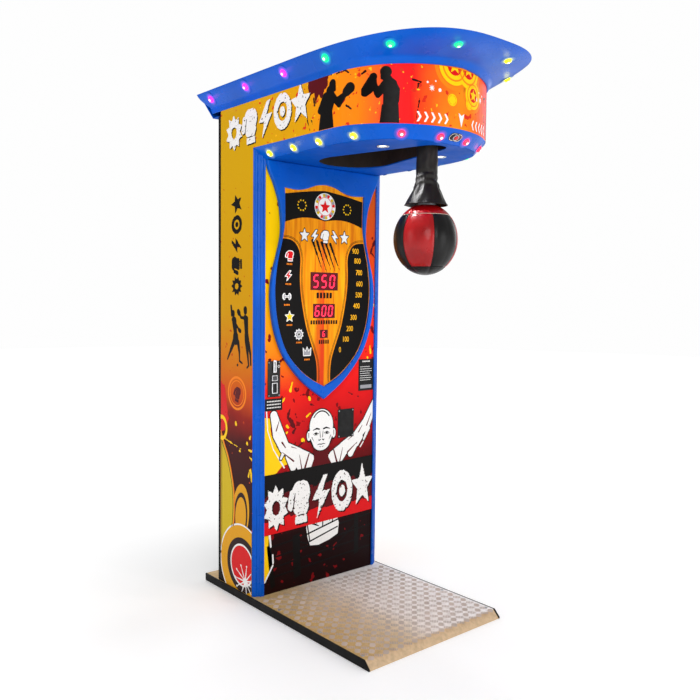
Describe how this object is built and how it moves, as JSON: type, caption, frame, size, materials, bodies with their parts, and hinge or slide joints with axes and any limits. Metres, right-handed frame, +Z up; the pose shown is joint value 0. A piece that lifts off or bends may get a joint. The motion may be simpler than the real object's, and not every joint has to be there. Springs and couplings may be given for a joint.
{
  "type": "boxing punch machine",
  "caption": "Free-standing punch machine: tall cabinet on a tread plate base, overhanging lamp-lit canopy with a ball on a swinging arm, shield score panel, coin plate and rear service door.",
  "frame": {"origin": "centre of the footprint of the whole machine, on the floor", "axes": "+Z up, the player stands on the -Y side, +X to the right seen from the player"},
  "size_m": [0.78, 1.322, 2.12],
  "materials": {
    "blue_plastic": "glossy moulded plastic",
    "black_steel": "satin black powder coat",
    "frame_steel": "grey painted steel",
    "tread_aluminium": "five-bar tread plate",
    "rubber": "matt rubber",
    "printed_panel": "board with a glossy printed skin",
    "printed_front": "board with a glossy printed skin",
    "black_board": "black laminated board",
    "score_print": "printed plastic",
    "led_red": "dark red window",
    "lamp_magenta": "glowing lamp cap",
    "lamp_green": "glowing lamp cap",
    "lamp_yellow": "glowing lamp cap",
    "lamp_red": "glowing lamp cap",
    "downlight_white": "white lens in a metal ring",
    "black_plastic": "black plastic",
    "button_red": "glossy red plastic",
    "bright_steel": "bright steel",
    "ball_leather": "glossy red and black leather",
    "sleeve_leather": "black wrinkled leather",
    "foam": "black foam",
    "brass": "brass",
    "board_green": "green circuit board",
    "galvanised": "folded galvanised sheet"
  },
  "bodies": {
    "cabinet": {"base_frame": "frame_steel", "tread_plate": "tread_aluminium", "side_skirts": "black_steel", "rubber_feet": "rubber", "steel_frame": "frame_steel", "left_side_panel": "printed_panel", "right_side_panel": "printed_panel", "rear_posts": "black_board", "rear_panel": "black_board", "door_hinge_pins": "bright_steel", "front_posts": "blue_plastic", "front_panel": "printed_front", "shield_bezel": "blue_plastic", "score_panel": "score_print", "score_display": "led_red", "high_score_display": "led_red", "credit_display": "led_red", "coin_plate": "black_steel", "coin_validator": "black_plastic", "coin_chute": "galvanised", "cash_box": "galvanised", "service_plate": "black_steel", "label_plates": "black_plastic", "screws": "bright_steel", "canopy_wall": "printed_panel", "upper_rim": "blue_plastic", "roof_cover": "blue_plastic", "lower_rim": "blue_plastic", "soffit_panel": "blue_plastic", "well_liner": "black_plastic", "buffer_pads": "foam", "lamps_magenta": "lamp_magenta", "lamps_green": "lamp_green", "lamps_yellow": "lamp_yellow", "lamps_red": "lamp_red", "downlights": "downlight_white", "start_plate": "black_plastic", "mech_bracket": "frame_steel", "bearing_blocks": "black_steel", "speed_sensor": "board_green", "solenoid": "black_steel", "controller_board": "board_green", "power_supply": "galvanised", "power_inlet": "black_plastic"},
    "punch_arm": {"pivot_shaft": "bright_steel", "arm_tube": "black_steel", "ball": "ball_leather", "arm_sleeve": "sleeve_leather", "encoder_disc": "black_plastic", "latch_crank": "bright_steel"},
    "start_push": {"start_button": "button_red"},
    "coin_reject": {"coin_reject_button": "black_plastic"},
    "coin_flap": {"coin_return_flap": "bright_steel"},
    "service_door": {"rear_door": "black_board", "door_knuckles": "bright_steel", "lock_cylinder": "bright_steel"},
    "lock_tongue": {"lock_cam": "bright_steel"},
    "latch": {"latch_pawl": "brass"},
    "plunger": {"solenoid_plunger": "bright_steel"},
    "rollers": {"transport_rollers": "rubber"}
  },
  "joints": [
    {"name": "arm_swing", "type": "hinge", "parent": "cabinet", "child": "punch_arm", "pos_m": [0, -0.324, 1.885], "axis": [1, 0, 0], "range_deg": [-10, 90]},
    {"name": "start_press", "type": "slide", "parent": "cabinet", "child": "start_push", "axis": [0, 0.6532, 0.7572], "range_m": [0, 0.003], "stiffness_N_per_m": 400, "springref_m": -0.001},
    {"name": "coin_reject_press", "type": "slide", "parent": "cabinet", "child": "coin_reject", "axis": [0, 1, 0], "range_m": [0, 0.004], "stiffness_N_per_m": 300, "springref_m": -0.001},
    {"name": "coin_flap_swing", "type": "hinge", "parent": "cabinet", "child": "coin_flap", "pos_m": [-0.251, 0.2785, 0.911], "axis": [1, 0, 0], "range_deg": [0, 35]},
    {"name": "service_door_swing", "type": "hinge", "parent": "cabinet", "child": "service_door", "pos_m": [-0.2615, 0.571, 0.9], "axis": [0, 0, 1], "range_deg": [0, 110]},
    {"name": "lock_turn", "type": "hinge", "parent": "service_door", "child": "lock_tongue", "pos_m": [0.22, 0.564, 0.9], "axis": [0, -1, 0], "range_deg": [0, 90]},
    {"name": "latch_turn", "type": "hinge", "parent": "cabinet", "child": "latch", "pos_m": [0.119, -0.374, 1.846], "axis": [1, 0, 0], "range_deg": [0, 25], "stiffness_Nm_per_rad": 0.06, "springref_deg": -34.38},
    {"name": "plunger_stroke", "type": "slide", "parent": "cabinet", "child": "plunger", "axis": [0, 0, -1], "range_m": [0, 0.0105]},
    {"name": "rollers_spin", "type": "hinge", "parent": "cabinet", "child": "rollers", "pos_m": [0, 0.647, 0.0135], "axis": [1, 0, 0], "continuous": true}
  ],
  "couplings": [
    {"joint": "plunger_stroke", "follows": "latch_turn", "m_per_rad": 0.024}
  ]
}
